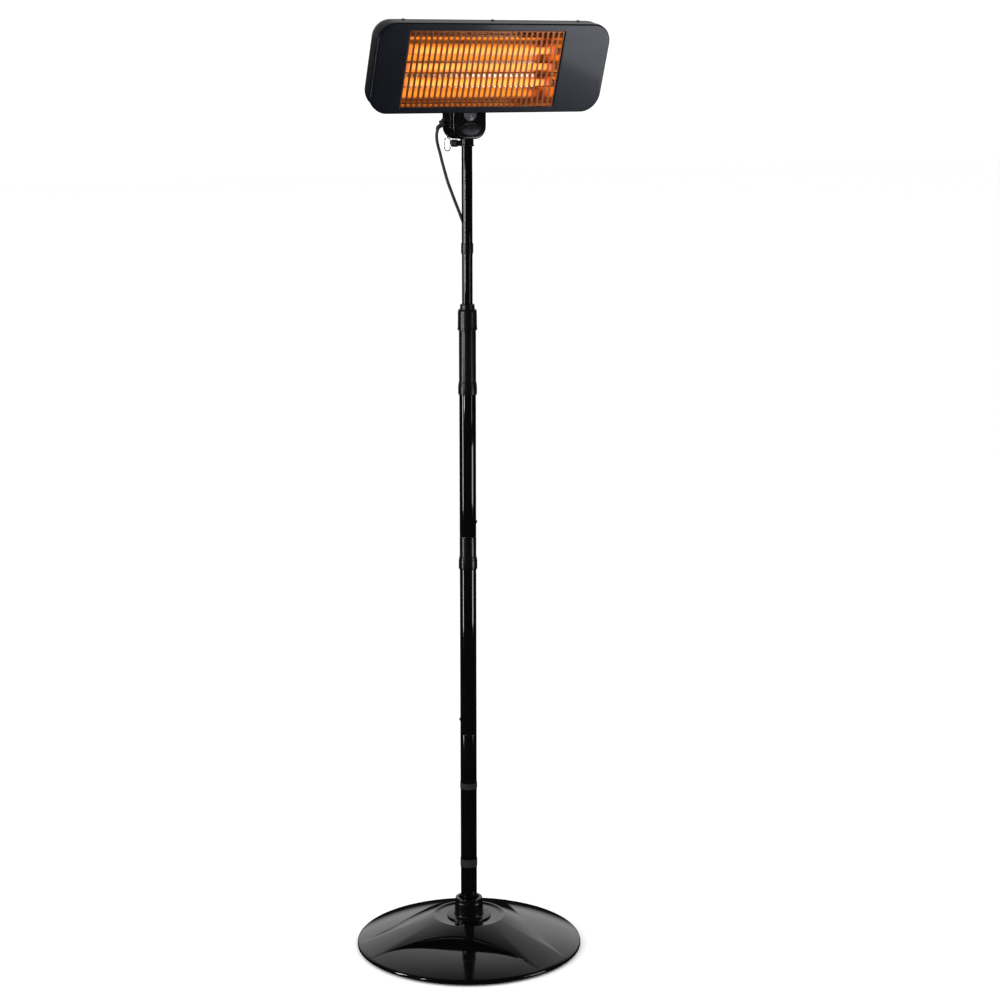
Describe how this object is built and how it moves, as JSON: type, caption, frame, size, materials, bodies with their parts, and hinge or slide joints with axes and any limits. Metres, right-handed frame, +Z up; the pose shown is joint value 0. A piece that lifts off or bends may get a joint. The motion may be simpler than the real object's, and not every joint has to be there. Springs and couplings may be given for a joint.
{
  "type": "outdoor heater",
  "caption": "Free-standing electric patio heater: a tilting radiant head behind a slotted grille, on a sliding mast with a round weighted base; cord tied behind.",
  "frame": {"origin": "on the floor, under the middle of the round base", "axes": "+Z up along the mast, the heater head looks towards -Y, +X to the right of someone looking along +Y"},
  "size_m": [0.495, 0.46, 1.8686],
  "materials": {
    "gloss_base": "high gloss moulded black",
    "tray_steel": "satin black powder coat",
    "cast_ballast": "raw sand-cast, dark",
    "foot_rubber": "matte moulded rubber",
    "plain_steel": "plain rolled steel",
    "zinc_steel": "bright zinc plate",
    "black_moulding": "semi-gloss moulded black",
    "lock_moulding": "semi-gloss moulded black",
    "mast_gloss": "gloss black enamel",
    "cord_jacket": "matte black sheath",
    "plug_moulding": "fine-textured moulded black",
    "strap_fabric": "woven black strap",
    "pale_nylon": "natural nylon",
    "knuckle_gloss": "gloss moulded black",
    "satin_cap": "satin dark anodised",
    "lens_smoke": "smoky moulded lens",
    "gland_rubber": "matte moulded rubber",
    "bright_wire": "bright plated wire",
    "panel_graphite": "satin graphite enamel",
    "shell_black": "satin black powder coat",
    "reflector_sheet": "bright rolled sheet",
    "grille_steel": "bright stamped sheet",
    "quartz_glass": "clear fused quartz",
    "glowing_coil": "resistance wire, glowing orange",
    "ceramic": "white unglazed ceramic"
  },
  "bodies": {
    "base": {"base_tray": "tray_steel", "base_weight": "cast_ballast", "base_cover": "gloss_base", "rubber_feet": "foot_rubber", "hub_spacer": "plain_steel", "mast_socket": "black_moulding", "centre_bolt": "zinc_steel", "centre_nut": "zinc_steel", "lower_tube": "mast_gloss", "lower_joiner": "plain_steel", "middle_tube": "mast_gloss", "lower_collar": "black_moulding", "upper_joiner": "plain_steel", "upper_tube": "mast_gloss", "lock_body": "lock_moulding", "collet": "lock_moulding", "cord_hank": "cord_jacket", "cord_tail": "cord_jacket", "plug": "plug_moulding", "hank_straps": "strap_fabric"},
    "lower_button": {"snap_button_lower": "zinc_steel"},
    "upper_button": {"snap_button_upper": "zinc_steel"},
    "lock_ring": {"lock_collar": "lock_moulding"},
    "inner_mast": {"inner_tube": "mast_gloss", "glide_bush": "pale_nylon", "cord_clip": "black_moulding", "cord_lower": "cord_jacket"},
    "knuckle": {"neck_sleeve": "black_moulding", "knuckle_back": "knuckle_gloss", "knuckle_front": "knuckle_gloss", "oval_cap": "satin_cap", "pilot_lens": "lens_smoke", "pull_switch": "pale_nylon", "cable_gland": "gland_rubber", "cord_upper": "cord_jacket", "knuckle_screws": "zinc_steel", "pivot_bolt": "zinc_steel", "pivot_nut": "zinc_steel"},
    "knob": {"clamp_knob": "black_moulding"},
    "pull_eye": {"pull_loop": "bright_wire"},
    "head": {"front_panel": "panel_graphite", "rear_shell": "shell_black", "reflector": "reflector_sheet", "reflector_ends": "reflector_sheet", "grille": "grille_steel", "grille_rods": "grille_steel", "quartz_tube_1": "quartz_glass", "quartz_tube_2": "quartz_glass", "quartz_tube_3": "quartz_glass", "heating_coil_1": "glowing_coil", "heating_coil_2": "glowing_coil", "heating_coil_3": "glowing_coil", "ceramic_caps": "ceramic", "tube_holders": "plain_steel", "terminal_block": "ceramic", "thermal_cutout": "plain_steel", "tip_switch": "black_moulding", "head_bracket": "shell_black", "head_screws": "zinc_steel"}
  },
  "joints": [
    {"name": "mast_slide", "type": "slide", "parent": "base", "child": "inner_mast", "axis": [0, 0, 1], "range_m": [-0.09, 0], "deforming": ["cord_lower"]},
    {"name": "lock_twist", "type": "hinge", "parent": "base", "child": "lock_ring", "pos_m": [0, 0, 1.293], "axis": [0, 0, 1], "range_deg": [0, 60]},
    {"name": "lower_button_press", "type": "slide", "parent": "base", "child": "lower_button", "axis": [0.8829, -0.4695, 0], "range_m": [0, 0.0022], "stiffness_N_per_m": 1500, "springref_m": -0.0015},
    {"name": "upper_button_press", "type": "slide", "parent": "base", "child": "upper_button", "axis": [-0.8829, 0.4695, 0], "range_m": [0, 0.0022], "stiffness_N_per_m": 1500, "springref_m": -0.0015},
    {"name": "head_swivel", "type": "hinge", "parent": "inner_mast", "child": "knuckle", "pos_m": [0, 0, 1.6425], "axis": [0, 0, 1], "range_deg": [-60, 60]},
    {"name": "knob_turn", "type": "hinge", "parent": "knuckle", "child": "knob", "pos_m": [-0.01915, 0.01607, 1.6345], "axis": [-0.766, 0.6428, 0], "range_deg": [-180, 180]},
    {"name": "pull_switch_pull", "type": "slide", "parent": "knuckle", "child": "pull_eye", "axis": [0, 0, -1], "range_m": [0, 0.008], "stiffness_N_per_m": 600, "springref_m": -0.002},
    {"name": "head_tilt", "type": "hinge", "parent": "knuckle", "child": "head", "pos_m": [0, 0.014, 1.7295], "axis": [1, 0, 0], "range_deg": [-19, 26]}
  ]
}
